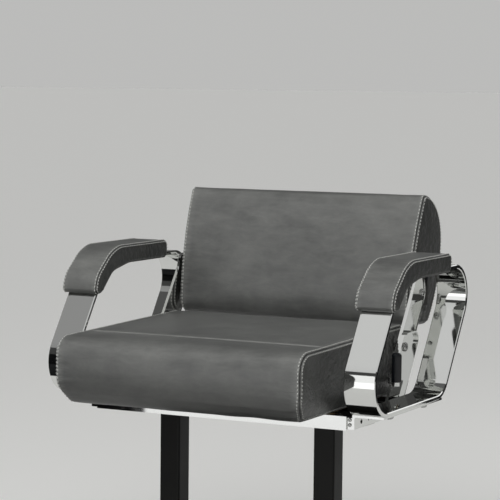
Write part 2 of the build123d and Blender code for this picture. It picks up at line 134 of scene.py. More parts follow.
world = bpy.data.worlds.new("studio_surround")
world.use_nodes = True
bpy.context.scene.world = world
tree = world.node_tree
tree.nodes.clear()
direction = add_node(tree, "ShaderNodeTexCoord")
height = add_node(tree, "ShaderNodeSeparateXYZ", links={0: direction.outputs["Generated"]})
upward = add_node(
    tree, "ShaderNodeMapRange", {"From Min": -1.0, "From Max": 1.0}, {"Value": height.outputs["Z"]}
)
# the ramp runs from straight down at 0, over the horizon at 0.5, to straight up at 1
surround = add_node(tree, "ShaderNodeValToRGB", links={0: upward.outputs[0]})
surround.color_ramp.elements[0].position = 0.45
surround.color_ramp.elements[0].color = (0.03, 0.03, 0.03, 1)
surround.color_ramp.elements[1].position = 1.0
surround.color_ramp.elements[1].color = (0.14, 0.14, 0.14, 1)
for position, level in ((0.485, 0.50), (0.525, 0.50), (0.55, 0.05), (0.8, 0.06), (0.9, 0.10)):
    stop = surround.color_ramp.elements.new(position)
    stop.color = (level, level, level * 0.985, 1)
backdrop = add_node(
    tree, "ShaderNodeBackground", {"Strength": 1.0}, {"Color": surround.outputs[0]}
)
add_node(tree, "ShaderNodeOutputWorld", links={"Surface": backdrop.outputs[0]})


def softbox(name, place, aim, size, radiance, only_mirrored=False):
    """A rectangular softbox that faces its aim and isn't seen by the camera itself. One that is
    only mirrored lights no leather or floor."""
    lamp = bpy.data.lights.new(name, "AREA")
    lamp.shape = "RECTANGLE"
    lamp.size, lamp.size_y = size
    lamp.energy = radiance * math.pi * lamp.size * lamp.size_y
    light = bpy.data.objects.new(name, lamp)
    bpy.context.collection.objects.link(light)
    light.location = place
    light.rotation_euler = (Vector(aim) - Vector(place)).to_track_quat("-Z", "Y").to_euler()
    light.visible_camera = False
    light.visible_diffuse = not only_mirrored


softbox("key_softbox", (0.2, -1.35, 2.5), aim=(0.2, 0, 0.5), size=(3.0, 1.7), radiance=0.58)
softbox(
    "left_key_softbox", (-1.95, -1.55, 2.4), aim=(-1.95, 0, 0.9), size=(1.3, 1.0), radiance=0.23
)
softbox("left_softbox", (-2.6, -0.9, 1.5), aim=(0, 0, 0.5), size=(1.4, 1.6), radiance=0.5)
softbox("rear_softbox", (1.15, 2.1, 1.8), aim=(0.2, 0.2, 0.6), size=(1.8, 1.0), radiance=1.1)
softbox(
    "front_panel", (-0.38, -1.75, 0.67), aim=(-0.38, 0, 0.67), size=(1.36, 1.28), radiance=1.0,
    only_mirrored=True,
)
softbox(
    "right_panel", (2.3, -0.3, 2.1), aim=(0, 0, 0.5), size=(1.2, 1.2), radiance=0.6,
    only_mirrored=True,
)

sky_lamp = bpy.data.lights.new("ceiling_bounce", "SUN")
sky_lamp.energy = 1.95
sky_lamp.angle = math.radians(80)
ceiling_bounce = bpy.data.objects.new("ceiling_bounce", sky_lamp)
bpy.context.collection.objects.link(ceiling_bounce)
ceiling_bounce.rotation_euler = (math.radians(48), math.radians(-15), 0)
ceiling_bounce.visible_glossy = False

# matt black boards that only reflections show give the plating its dark edges
black_board, tree = new_material("matt_black_board")
shader = add_node(
    tree, "ShaderNodeBsdfPrincipled", {"Base Color": linear("#0c0d0f"), "Roughness": 0.9}
)
add_node(tree, "ShaderNodeOutputMaterial", links={"Surface": shader.outputs[0]})
for board_name, middle, facing, board_size in (
    ("rear_board", (1.25, 1.6, 0.50), (-1.25, -1.6, 0), (2.0, 0.80)),
    ("left_board", (-1.64, -1.76, 0.50), (0, 1, 0), (1.14, 1.00)),
    ("floor_board", (-1.30, -1.40, 0.01), (0, 0, 1), (1.50, 2.00)),
):
    bm = bmesh.new()
    toward = Vector(facing).to_track_quat("Z", "Y").to_matrix().to_4x4()
    bmesh.ops.create_grid(
        bm, x_segments=1, y_segments=1, size=0.5,
        matrix=Matrix.Translation(middle) @ toward @ Matrix.Diagonal((*board_size, 1, 1)),
    )
    board = object_from(bm, board_name, black_board)
    board.visible_camera = False
    board.visible_diffuse = False
    board.visible_shadow = False


# ---------------------------------------------------------------------------------------------
# Stand: a floor plate on four glides and two square posts, all mild steel. It is powder coated
# satin black, which gives a faint orange peel and softened highlights.
# ---------------------------------------------------------------------------------------------
def finish_nodes(names, material):
    """Gives CAD nodes their finish in place of the plain packed one."""
    for name in names:
        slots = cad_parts[name].data.materials
        slots.clear()
        slots.append(material)


black_powder, tree = new_material("satin_black_powder_coat")
place = add_node(tree, "ShaderNodeTexCoord")
peel = add_node(  # orange peel is about 2 mm across, drawn at 4 mm so that it shows
    tree, "ShaderNodeTexNoise", {"Scale": 250.0, "Detail": 2.0},
    {"Vector": place.outputs["Object"]},
)
dust = add_node(  # the coat's tone and gloss drift over patches of about 110 mm
    tree, "ShaderNodeTexNoise", {"Scale": 9.0, "Detail": 5.0, "Roughness": 0.6},
    {"Vector": place.outputs["Object"]},
)
black_tone = add_node(tree, "ShaderNodeValToRGB", links={0: dust.outputs["Fac"]})
black_tone.color_ramp.elements[0].position = 0.35
black_tone.color_ramp.elements[0].color = linear("#0c0c0b")
black_tone.color_ramp.elements[1].position = 0.75
black_tone.color_ramp.elements[1].color = linear("#141412")
gloss = add_node(
    tree, "ShaderNodeMapRange", {"To Min": 0.34, "To Max": 0.5}, {"Value": dust.outputs["Fac"]}
)
bump = add_node(
    tree, "ShaderNodeBump", {"Strength": 0.12, "Distance": 0.0006},
    {"Height": peel.outputs["Fac"]},
)
shader = add_node(
    tree, "ShaderNodeBsdfPrincipled", {"IOR": 1.5, "Specular IOR Level": 0.2},
    {"Base Color": black_tone.outputs[0], "Roughness": gloss.outputs[0],
     "Normal": bump.outputs[0]},
)
add_node(tree, "ShaderNodeOutputMaterial", links={"Surface": shader.outputs[0]})
finish_nodes(
    ["base_plate", "post_left", "post_right", "post_top_plate_left", "post_top_plate_right",
     "cross_bar_front", "cross_bar_rear", "rail_tie_front", "rail_tie_rear"],
    black_powder,
)

glide_plastic, tree = new_material("moulded_black_polyethylene")
place = add_node(tree, "ShaderNodeTexCoord")
scuff = add_node(  # scuffs from the floor, about 15 mm across
    tree, "ShaderNodeTexNoise", {"Scale": 60.0, "Detail": 4.0}, {"Vector": place.outputs["Object"]}
)
bump = add_node(
    tree, "ShaderNodeBump", {"Strength": 0.3, "Distance": 0.0005},
    {"Height": scuff.outputs["Fac"]},
)
shader = add_node(
    tree, "ShaderNodeBsdfPrincipled",
    {"Base Color": linear("#202020"), "Roughness": 0.55, "IOR": 1.51},
    {"Normal": bump.outputs[0]},
)
add_node(tree, "ShaderNodeOutputMaterial", links={"Surface": shader.outputs[0]})
finish_nodes(["base_glides"], glide_plastic)

# ---------------------------------------------------------------------------------------------
# Rail frame, arm loops and hinge plates: flat steel bar and sheet, bent, polished and bright
# chromium plated. The plating mirrors the room, with faint waves from the polishing wheel.
# ---------------------------------------------------------------------------------------------
chrome, tree = new_material("bright_chromium_plate")
place = add_node(tree, "ShaderNodeTexCoord")
polish_waves = add_node(  # the polishing wheel leaves waves about 140 mm long
    tree, "ShaderNodeTexNoise", {"Scale": 7.0, "Detail": 1.0}, {"Vector": place.outputs["Object"]}
)
handling = add_node(  # hands and cloths leave smears about 45 mm across
    tree, "ShaderNodeTexNoise", {"Scale": 22.0, "Detail": 6.0, "Roughness": 0.65},
    {"Vector": place.outputs["Object"]},
)
smear = add_node(
    tree, "ShaderNodeMapRange",
    {"From Min": 0.45, "From Max": 0.8, "To Min": 0.035, "To Max": 0.10},
    {"Value": handling.outputs["Fac"]},
)
bump = add_node(
    tree, "ShaderNodeBump", {"Strength": 0.05, "Distance": 0.004},
    {"Height": polish_waves.outputs["Fac"]},
)
shader = add_node(
    tree, "ShaderNodeBsdfPrincipled",
    {"Base Color": linear("#e2e3e1"), "Metallic": 1.0},
    {"Roughness": smear.outputs[0], "Normal": bump.outputs[0]},
)
add_node(tree, "ShaderNodeOutputMaterial", links={"Surface": shader.outputs[0]})
finish_nodes(
    ["arm_loop_left", "arm_loop_right", "side_rail_left", "side_rail_right", "front_cover",
     "rear_cover", "hinge_bracket_left", "hinge_bracket_right", "back_plate_left",
     "back_plate_right", "release_lever"],
    chrome,
)

# ---------------------------------------------------------------------------------------------
# Fasteners and the lock's small parts: zinc plated steel screws, nuts, shaft and spring, with
# turned bronze bushes. The plating is slightly cloudy, and turning leaves fine rings in bronze.
# ---------------------------------------------------------------------------------------------
zinc, tree = new_material("bright_zinc_plate")
place = add_node(tree, "ShaderNodeTexCoord")
cloud = add_node(  # the plating is cloudy over about 5 mm
    tree, "ShaderNodeTexNoise", {"Scale": 180.0, "Detail": 3.0},
    {"Vector": place.outputs["Object"]},
)
zinc_tone = add_node(tree, "ShaderNodeValToRGB", links={0: cloud.outputs["Fac"]})
zinc_tone.color_ramp.elements[0].color = linear("#8e8f8e")
zinc_tone.color_ramp.elements[1].color = linear("#c9cac8")
gloss = add_node(
    tree, "ShaderNodeMapRange", {"To Min": 0.16, "To Max": 0.36}, {"Value": cloud.outputs["Fac"]}
)
shader = add_node(
    tree, "ShaderNodeBsdfPrincipled", {"Metallic": 1.0},
    {"Base Color": zinc_tone.outputs[0], "Roughness": gloss.outputs[0]},
)
add_node(tree, "ShaderNodeOutputMaterial", links={"Surface": shader.outputs[0]})
finish_nodes(
    ["arm_bolts", "arm_washers", "arm_pad_screws", "back_screws", "cross_bar_bolts",
     "pivot_bolts", "pivot_nuts", "pivot_spacers", "post_bolts", "post_nuts", "seat_screws",
     "tie_screws", "lever_shaft", "lever_clip", "lever_spring", "lock_cam"],
    zinc,
)

bronze, tree = new_material("turned_bearing_bronze")
place = add_node(tree, "ShaderNodeTexCoord")
rings = add_node(  # tool marks 0.3 mm apart, drawn at 1 mm so that they show
    tree, "ShaderNodeTexWave", {"Scale": 300.0, "Distortion": 0.5},
    {"Vector": place.outputs["Object"]},
)
bronze_tone = add_node(tree, "ShaderNodeValToRGB", links={0: rings.outputs["Fac"]})
bronze_tone.color_ramp.elements[0].color = linear("#8a6a3c")
bronze_tone.color_ramp.elements[1].color = linear("#a98550")
shader = add_node(
    tree, "ShaderNodeBsdfPrincipled", {"Metallic": 1.0, "Roughness": 0.32},
    {"Base Color": bronze_tone.outputs[0]},
)
add_node(tree, "ShaderNodeOutputMaterial", links={"Surface": shader.outputs[0]})
finish_nodes(["lever_bush", "pivot_bushes"], bronze)


# ---------------------------------------------------------------------------------------------
# Boards: birch plywood under the seat and arm pads, sanded and left raw, and a beech core in the
# backrest, stained to match the leather. The grain runs across the chair in thin darker lines.
# ---------------------------------------------------------------------------------------------
def wood_grain(tree):
    """Grain lines about 6 mm wide and 80 mm long, which run along X."""
    place = add_node(tree, "ShaderNodeTexCoord")
    along = add_node(
        tree, "ShaderNodeMapping", {"Scale": (1.0, 14.0, 14.0)},
        {"Vector": place.outputs["Object"]},
    )
    return add_node(
        tree, "ShaderNodeTexNoise", {"Scale": 12.0, "Detail": 6.0, "Roughness": 0.7},
        {"Vector": along.outputs[0]},
    )


birch, tree = new_material("sanded_birch_plywood")
grain = wood_grain(tree)
birch_tone = add_node(tree, "ShaderNodeValToRGB", links={0: grain.outputs["Fac"]})
birch_tone.color_ramp.elements[0].position = 0.3
birch_tone.color_ramp.elements[0].color = linear("#a58659")
birch_tone.color_ramp.elements[1].position = 0.7
birch_tone.color_ramp.elements[1].color = linear("#cdb186")
bump = add_node(
    tree, "ShaderNodeBump", {"Strength": 0.2, "Distance": 0.0008},
    {"Height": grain.outputs["Fac"]},
)
shader = add_node(
    tree, "ShaderNodeBsdfPrincipled", {"Roughness": 0.62},
    {"Base Color": birch_tone.outputs[0], "Normal": bump.outputs[0]},
)
add_node(tree, "ShaderNodeOutputMaterial", links={"Surface": shader.outputs[0]})
finish_nodes(["seat_board", "arm_pad_board_left", "arm_pad_board_right"], birch)

stained, tree = new_material("grey_stained_beech")
grain = wood_grain(tree)
stain_tone = add_node(tree, "ShaderNodeValToRGB", links={0: grain.outputs["Fac"]})
stain_tone.color_ramp.elements[0].color = linear("#3d3d3b")
stain_tone.color_ramp.elements[1].color = linear("#565652")
shader = add_node(
    tree, "ShaderNodeBsdfPrincipled", {"Roughness": 0.6}, {"Base Color": stain_tone.outputs[0]}
)
add_node(tree, "ShaderNodeOutputMaterial", links={"Surface": shader.outputs[0]})
finish_nodes(["back_core"], stained)

# ---------------------------------------------------------------------------------------------
# Lever grip: a moulded nitrile rubber sleeve pushed on the lever's pin. It is near black with a
# blue cast, and smooth enough to hold one soft highlight.
# ---------------------------------------------------------------------------------------------
grip_rubber, tree = new_material("moulded_nitrile_rubber")
place = add_node(tree, "ShaderNodeTexCoord")
skin = add_node(  # the mould's matt skin, 0.5 mm grit drawn at 3 mm so that it shows
    tree, "ShaderNodeTexNoise", {"Scale": 320.0, "Detail": 2.0},
    {"Vector": place.outputs["Object"]},
)
bump = add_node(
    tree, "ShaderNodeBump", {"Strength": 0.15, "Distance": 0.0004},
    {"Height": skin.outputs["Fac"]},
)
shader = add_node(
    tree, "ShaderNodeBsdfPrincipled",
    {"Base Color": linear("#12161b"), "Roughness": 0.3, "IOR": 1.52},
    {"Normal": bump.outputs[0]},
)
add_node(tree, "ShaderNodeOutputMaterial", links={"Surface": shader.outputs[0]})
finish_nodes(["lever_grip"], grip_rubber)

# ---------------------------------------------------------------------------------------------
# Seat: moulded foam on the plywood board, under an aniline leather cover of a front and top
# panel, joined across the seat, and two side panels sewn on with a double row of pale thread.
# ---------------------------------------------------------------------------------------------
leather, tree = new_material("waxed_aniline_leather")
place = add_node(tree, "ShaderNodeTexCoord")
clouds = add_node(  # the dye takes unevenly over patches of about 80 mm
    tree, "ShaderNodeTexNoise", {"Scale": 13.0, "Detail": 5.0, "Roughness": 0.62},
    {"Vector": place.outputs["Object"]},
)
patches = add_node(  # and over broad ones of about 220 mm
    tree, "ShaderNodeTexNoise", {"Scale": 4.5, "Detail": 3.0, "Roughness": 0.5},
    {"Vector": place.outputs["Object"]},
)
pores = add_node(  # pores are 0.5 mm apart, drawn at 2 mm so that they show
    tree, "ShaderNodeTexVoronoi", {"Scale": 480.0}, {"Vector": place.outputs["Object"]}
)
streaks_way = add_node(  # fine creases run across the hide, 17 mm wide and 50 mm long
    tree, "ShaderNodeMapping", {"Scale": (0.35, 1.0, 1.0)}, {"Vector": place.outputs["Object"]}
)
streaks = add_node(
    tree, "ShaderNodeTexNoise",
    {"Scale": 60.0, "Detail": 6.0, "Roughness": 0.7, "Distortion": 0.4},
    {"Vector": streaks_way.outputs[0]},
)
mottle = add_node(
    tree, "ShaderNodeMix", {"data_type": "FLOAT", 0: 0.42},
    {2: clouds.outputs["Fac"], 3: patches.outputs["Fac"]},
)
mottle_fine = add_node(
    tree, "ShaderNodeMix", {"data_type": "FLOAT", 0: 0.34},
    {2: mottle.outputs[0], 3: streaks.outputs["Fac"]},
)
hide_tone = add_node(tree, "ShaderNodeValToRGB", links={0: mottle_fine.outputs[0]})
hide_tone.color_ramp.elements[0].position = 0.34
hide_tone.color_ramp.elements[0].color = linear("#4f504f")
hide_tone.color_ramp.elements[1].position = 0.68
hide_tone.color_ramp.elements[1].color = linear("#727370")
middle = hide_tone.color_ramp.elements.new(0.5)
middle.color = linear("#60615f")
# painted highlight and wear: the leather goes pale towards #b6b7b3 on the proud seam rings and join
# ridges (partly rubbed wear, partly painted highlight) and on the top front edges (painted
# highlight), broken up by the creases
wear_and_highlight = add_node(tree, "ShaderNodeAttribute", {"attribute_name": "wear_and_highlight"})
wear_highlight_break = add_node(
    tree, "ShaderNodeMath", {"operation": "MULTIPLY", "use_clamp": True},
    {0: wear_and_highlight.outputs["Fac"], 1: streaks.outputs["Fac"]},
)
wear_and_highlight_tone = add_node(
    tree, "ShaderNodeMix", {"data_type": "RGBA", 7: linear("#b6b7b3")},
    {0: wear_highlight_break.outputs[0], 6: hide_tone.outputs[0]},
)
# painted shade: the fold in the middle of each seam, and faintly the centre of the join, is
# darkened towards #1b1b1b as the crease's shade
fold_shade = add_node(tree, "ShaderNodeAttribute", {"attribute_name": "fold_shade"})
fold_shade_tone = add_node(
    tree, "ShaderNodeMix", {"data_type": "RGBA", 7: linear("#1b1b1b")},
    {0: fold_shade.outputs["Fac"], 6: wear_and_highlight_tone.outputs[2]},
)
gloss = add_node(
    tree, "ShaderNodeMapRange",
    {"From Min": 0.3, "From Max": 0.7, "To Min": 0.32, "To Max": 0.46},
    {"Value": mottle_fine.outputs[0]},
)
grain_bump = add_node(
    tree, "ShaderNodeBump", {"Strength": 0.10, "Distance": 0.0006},
    {"Height": pores.outputs["Distance"]},
)
crease_bump = add_node(
    tree, "ShaderNodeBump", {"Strength": 0.22, "Distance": 0.002},
    {"Height": streaks.outputs["Fac"], "Normal": grain_bump.outputs[0]},
)
gathered = add_node(tree, "ShaderNodeAttribute", {"attribute_name": "gathered"})
pucker_way = add_node(  # puckers run in from the side seams, about 10 mm apart
    tree, "ShaderNodeMapping", {"Scale": (0.2, 1.0, 1.0)}, {"Vector": place.outputs["Object"]}
)
puckers = add_node(
    tree, "ShaderNodeTexNoise", {"Scale": 95.0, "Detail": 2.0, "Distortion": 0.3},
    {"Vector": pucker_way.outputs[0]},
)
pucker_height = add_node(
    tree, "ShaderNodeMath", {"operation": "MULTIPLY"},
    {0: puckers.outputs["Fac"], 1: gathered.outputs["Fac"]},
)
pucker_bump = add_node(
    tree, "ShaderNodeBump", {"Strength": 0.75, "Distance": 0.004},
    {"Height": pucker_height.outputs[0], "Normal": crease_bump.outputs[0]},
)
shader = add_node(
    tree, "ShaderNodeBsdfPrincipled",
    {"IOR": 1.5, "Specular IOR Level": 0.55, "Sheen Weight": 0.08, "Sheen Roughness": 0.4},
    {"Base Color": fold_shade_tone.outputs[2], "Roughness": gloss.outputs[0],
     "Normal": pucker_bump.outputs[0]},
)
add_node(tree, "ShaderNodeOutputMaterial", links={"Surface": shader.outputs[0]})

thread, tree = new_material("waxed_polyester_thread")
place = add_node(tree, "ShaderNodeTexCoord")
ply = add_node(  # the twist of the thread, 1 mm
    tree, "ShaderNodeTexNoise", {"Scale": 900.0, "Detail": 1.0},
    {"Vector": place.outputs["Object"]},
)
thread_tone = add_node(tree, "ShaderNodeValToRGB", links={0: ply.outputs["Fac"]})
thread_tone.color_ramp.elements[0].color = linear("#b4b5b1")
thread_tone.color_ramp.elements[1].color = linear("#e6e7e2")
shader = add_node(
    tree, "ShaderNodeBsdfPrincipled", {"Roughness": 0.5},
    {"Base Color": thread_tone.outputs[0]},
)
add_node(tree, "ShaderNodeOutputMaterial", links={"Surface": shader.outputs[0]})

# A sewn edge is rounded in rings, from one panel to the other. The seam runs in the middle
# ring. SEAM_RISE is how far each ring stands out, and the tuple after it how pale each ring is
# painted: partly rubbed wear, partly a painted highlight on the rings that stand proud.
SEAM_SEGMENTS = 6
SEAM_RISE = tuple(rise * MM for rise in (0.0, 0.25, 0.6, -1.7, 0.6, 0.25, 0.0))
SEAM_WEAR_AND_HIGHLIGHT = (0.25, 0.7, 1.0, 0.0, 1.0, 0.7, 0.25)
JOIN_HALF = 2.5 * MM  # half the width of a join between two top panels
JOIN_FOLD = -1.1 * MM
JOIN_RIDGE = 0.45 * MM
PUCKER_REACH = 14 * MM  # how far puckers run in from a sewn edge
EDGE_HIGHLIGHT = 0.22  # how pale the top front edges are painted: a painted highlight where they face the light above the front
COVER_LEVELS = 2
STITCH_PITCH = 6.8 * MM
STITCH_SIZE = (4.9 * MM, 2.3 * MM, 1.8 * MM)
ROW_ANGLE = math.radians(17)  # where a row lies on the rounded edge


def side_outline(bm, corners, radii, x, arc_step=5 * MM):
    """The side outline as one face at x, its corners rounded. Returns the face."""
    verts = [bm.verts.new((x, y, z)) for y, z in corners]
    bm.faces.new(verts)
    for vert, radius in zip(verts, radii):
        before, after = [e.other_vert(vert).co - vert.co for e in vert.link_edges]
        opening = before.angle(after)
        bmesh.ops.bevel(
            bm, geom=[vert], offset=radius / math.tan(opening / 2),
            segments=max(2, round(radius * (math.pi - opening) / arc_step)),
            profile=0.5, affect="VERTICES", material=-1,
        )
    bm.faces.ensure_lookup_table()
    return bm.faces[0]


def slice_faces(bm, axis, places, wanted):
    """Cuts the wanted faces across one axis, so that the panels have cloth to stretch."""
    normal = Vector([float(i == axis) for i in range(3)])
    for place in places:
        faces = [f for f in bm.faces if wanted(f)]
        edges = {e for f in faces for e in f.edges}
        verts = {v for f in faces for v in f.verts}
        bmesh.ops.bisect_plane(
            bm, geom=[*verts, *edges, *faces], dist=1e-5, plane_co=normal * place,
            plane_no=normal,
        )


def steps(low, high, size):
    """Evenly spaced places between low and high, no further apart than size."""
    count = max(1, math.ceil((high - low) / size))
    return [low + (high - low) * i / count for i in range(1, count)]


def sweep_across(bm, side, x_high):
    """Sweeps the side outline across to x_high, as a closed body."""
    reach = x_high - side.verts[0].co.x
    swept = bmesh.ops.extrude_face_region(bm, geom=[side], use_keep_orig=True)
    moved = [g for g in swept["geom"] if isinstance(g, bmesh.types.BMVert)]
    bmesh.ops.translate(bm, verts=moved, vec=(reach, 0, 0))
    bmesh.ops.recalc_face_normals(bm, faces=bm.faces)


def sweep_cover(bm, side, x_high, sewn_r, cloth, joins=()):
    """Sweeps the side outline across, rounds the sewn edges and slices the panels at the cloth's
    spacing. Joins are seams across the top. Returns the outline as (y, z) points."""
    outline = [Vector((v.co.y, v.co.z)) for v in side.verts]
    x_low = side.verts[0].co.x
    sweep_across(bm, side, x_high)
    rims = [e for e in bm.edges if abs(e.verts[0].co.x - e.verts[1].co.x) < 1e-6]
    bmesh.ops.bevel(
        bm, geom=rims, offset=sewn_r, segments=SEAM_SEGMENTS, profile=0.5, affect="EDGES",
        material=-1,
    )
    slice_faces(
        bm, 0, steps(x_low + sewn_r, x_high - sewn_r, cloth), lambda f: abs(f.normal.x) < 0.05
    )
    lows = [min(p[i] for p in outline) for i in (0, 1)]
    highs = [max(p[i] for p in outline) for i in (0, 1)]
    beside = [j + d for j in joins for d in (-JOIN_HALF, 0, JOIN_HALF)]
    across = [
        y for y in steps(lows[0], highs[0], cloth)
        if all(abs(y - j) > 1.8 * JOIN_HALF for j in joins)
    ]
    slice_faces(
        bm, 1, sorted([*across, *beside]),
        lambda f: abs(f.normal.x) > 0.95 or abs(f.normal.y) < abs(f.normal.z),
    )
    slice_faces(
        bm, 2, steps(lows[1], highs[1], cloth),
        lambda f: abs(f.normal.x) > 0.95 or abs(f.normal.z) <= abs(f.normal.y),
    )
    bmesh.ops.recalc_face_normals(bm, faces=bm.faces)
    return outline


def mark_seams(piece, x_low, x_high, sewn_r, joins=(), join_height=0.0):
    """Finds the points on and beside each seam. The leather folds in at a seam, stands proud
    beside it and puckers away from it. It is painted paler on the rings beside a seam, partly
    rubbed wear and partly a painted highlight where they stand proud, and paler on the top front
    edges, a painted highlight where they face the light above the front. Its fold is painted
    dark, a painted shade in the crease. Returns how far each point rises, and those held."""
    fold_shade = piece.data.attributes.new("fold_shade", "FLOAT", "POINT").data
    wear_and_highlight = piece.data.attributes.new("wear_and_highlight", "FLOAT", "POINT").data
    gathered = piece.data.attributes.new("gathered", "FLOAT", "POINT").data
    rise, held = {}, {}
    for vert in piece.data.vertices:
        x, y, z = vert.co
        into = max(x_low + sewn_r - x, x - (x_high - sewn_r))
        gathered[vert.index].value = math.exp(min(0.0, into) / PUCKER_REACH)
        # painted highlight: points whose normal faces the front and up, towards the light above the
        # front, are painted paler
        edge = 2 * max(0.0, -vert.normal.y) * max(0.0, vert.normal.z)
        wear_and_highlight[vert.index].value = EDGE_HIGHLIGHT * edge**2
        if -1e-5 < into < sewn_r - 1e-5:
            turn = math.asin(min(1.0, max(0.0, into / sewn_r)))
            ring = round(turn / (math.pi / 2) * SEAM_SEGMENTS)
            rise[vert.index] = SEAM_RISE[ring]
            # the proud rings are painted paler: partly rubbed wear, partly a painted highlight
            wear_and_highlight[vert.index].value = SEAM_WEAR_AND_HIGHLIGHT[ring]
            # painted shade in the fold of the seam
            fold_shade[vert.index].value = float(ring == SEAM_SEGMENTS // 2)
            held[vert.index] = 1.0
        elif z > join_height and joins and vert.normal.z > 0.7:
            off = min(abs(y - j) for j in joins)
            if off < 1.01 * JOIN_HALF:
                centre = off < 0.2 * JOIN_HALF
                # the join's ridges are painted pale, partly rubbed wear and partly a painted
                # highlight; its centre is less pale and a little darkened, a painted shade in its
                # fold
                rise[vert.index] = JOIN_FOLD if centre else JOIN_RIDGE
                wear_and_highlight[vert.index].value = 0.55 if centre else 1.0
                fold_shade[vert.index].value = 0.12 if centre else 0.0
                held[vert.index] = 1.0
    return rise, held


def puff(piece, held, limits, pressure=4.0, frames=20):
    """Blows the cover up with a cloth simulation, held fast at its seams, then eases each
    point's travel to the limits that foam and leather allow."""
    rest = [v.co.copy() for v in piece.data.vertices]
    group = piece.vertex_groups.new(name="held")
    for index, share in held.items():
        group.add([index], share, "REPLACE")
    cloth = piece.modifiers.new("puff", "CLOTH")
    settings = cloth.settings
    settings.quality = 4
    settings.mass = 0.4
    settings.use_pressure = True
    settings.uniform_pressure_force = pressure
    settings.tension_stiffness = 12
    settings.compression_stiffness = 12
    settings.bending_stiffness = 2.0
    settings.vertex_group_mass = "held"
    settings.effector_weights.gravity = 0
    cloth.collision_settings.use_collision = False
    cloth.point_cache.frame_start = 1
    cloth.point_cache.frame_end = frames
    scene = bpy.context.scene
    for count in range(1, frames + 1):
        scene.frame_set(count)
    swollen = piece.evaluated_get(bpy.context.evaluated_depsgraph_get())
    moved = [v.co.copy() for v in swollen.data.vertices]
    piece.modifiers.clear()
    piece.vertex_groups.clear()
    scene.frame_set(1)
    for vert, start, end in zip(piece.data.vertices, rest, moved):
        vert.co = start + Vector([
            limit * math.tanh(travel / limit) for travel, limit in zip(end - start, limits)
        ])


def press_seams(piece, rise, held, wave, reach):
    """Folds the seams in, and gives the free leather the unevenness of foam: waves of that
    height and reach."""
    piece.data.update()
    for vert, normal in [(v, v.normal.copy()) for v in piece.data.vertices]:
        if vert.index in held:
            vert.co += normal * rise.get(vert.index, 0.0)
        else:
            vert.co += normal * wave * noise.noise(vert.co / reach)


def smooth_and_cut(piece, tools):
    """Subdivides the cover, cuts the tools out of it, and keeps the result as its mesh."""
    smooth = piece.modifiers.new("smooth", "SUBSURF")
    smooth.levels = COVER_LEVELS
    smooth.render_levels = COVER_LEVELS
    for tool in tools:
        cut = piece.modifiers.new("cut", "BOOLEAN")
        cut.operation = "DIFFERENCE"
        cut.solver = "EXACT"
        cut.object = tool
    final = bpy.data.meshes.new_from_object(
        piece.evaluated_get(bpy.context.evaluated_depsgraph_get())
    )
    piece.modifiers.clear()
    blank, piece.data = piece.data, final
    bpy.data.meshes.remove(blank)
    for tool in tools:
        bpy.data.objects.remove(tool)
    final.polygons.foreach_set("use_smooth", [True] * len(final.polygons))
    final.set_sharp_from_angle(angle=math.radians(50))


def block_tool(name, lows, highs):
    """A plain block between two corners, to cut with."""
    bm = bmesh.new()
    size = Vector(highs) - Vector(lows)
    bmesh.ops.create_cube(
        bm, size=1,
        matrix=Matrix.Translation((Vector(lows) + Vector(highs)) / 2)
        @ Matrix.Diagonal((*size, 1)),
    )
    return object_from(bm, name)


def walk(outline, pitch):
    """Evenly pitched (point, way) pairs round a closed outline of (y, z) points."""
    points = [*outline, outline[0]]
    length = sum((b - a).length for a, b in zip(points, points[1:]))
    step = length / round(length / pitch)
    walked, ahead, placed = 0.0, step / 2, []
    for a, b in zip(points, points[1:]):
        span = (b - a).length
        while ahead <= walked + span:
            placed.append((a.lerp(b, (ahead - walked) / span), (b - a).normalized()))
            ahead += step
        walked += span
    return placed


def double_rows(outline, x_low, x_high, sewn_r, wanted, taper=None):
    """Where the stitches go: a row each side of both side seams, as (guess, way) pairs. Wanted
    takes a height and the way out of the outline there, and says if it is sewn."""
    area = sum(a.cross(b) for a, b in zip(outline, [*outline[1:], outline[0]]))
    rows = []
    for turn in (ROW_ANGLE, math.pi / 2 - ROW_ANGLE):
        inset = sewn_r * (1 - math.cos(turn))
        out = sewn_r * (1 - math.sin(turn))
        for point, way in walk(outline, STITCH_PITCH):
            inward = Vector((-way.y, way.x)) * math.copysign(1, area)
            y, z = point + inward * inset
            if not wanted(z, *-inward):
                continue
            for x in (x_low + out, x_high - out):
                guess = Vector((x, y, z))
                rows.append((taper(guess) if taper else guess, Vector((0, *way))))
    return rows


def sew(name, cover, rows, body):
    """The stitches as one piece: each lies on the cover and runs its row's way."""
    surface = BVHTree.FromObject(cover, bpy.context.evaluated_depsgraph_get())
    bm = bmesh.new()
    size = Matrix.Diagonal((*(Vector(STITCH_SIZE) / 2), 1))
    for guess, way in rows:
        place, normal, _, _ = surface.find_nearest(guess)
        along = (way - normal * way.dot(normal)).normalized()
        turn = Matrix((along, normal.cross(along), normal)).transposed().to_4x4()
        bmesh.ops.create_uvsphere(
            bm, u_segments=6, v_segments=5, radius=1,
            matrix=Matrix.Translation(place + normal * STITCH_SIZE[2] * 0.2) @ turn @ size,
        )
    for face in bm.faces:
        face.smooth = True
    stitches = object_from(bm, name, thread)
    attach(stitches, body)


seat_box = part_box("seat_cushion")
board_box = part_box("seat_board")
seat_half = seat_box[1].x + 1 * MM
seat_front = seat_box[0].y
seat_rear = seat_box[1].y + 1.5 * MM
seat_foot = seat_box[0].z
seat_top = seat_box[1].z - 0.5 * MM
seat_join = seat_front + 106 * MM
seat_sewn_r = 8 * MM
seat_fall = 7 * MM  # how much lower the top is at its front
seat_nose = 32 * MM  # how far the lower front edge is cut away
seat_foot_share = 0.945  # the width at the foot, against the top's
seat_tuck = 52 * MM  # height over which the cover draws in to that

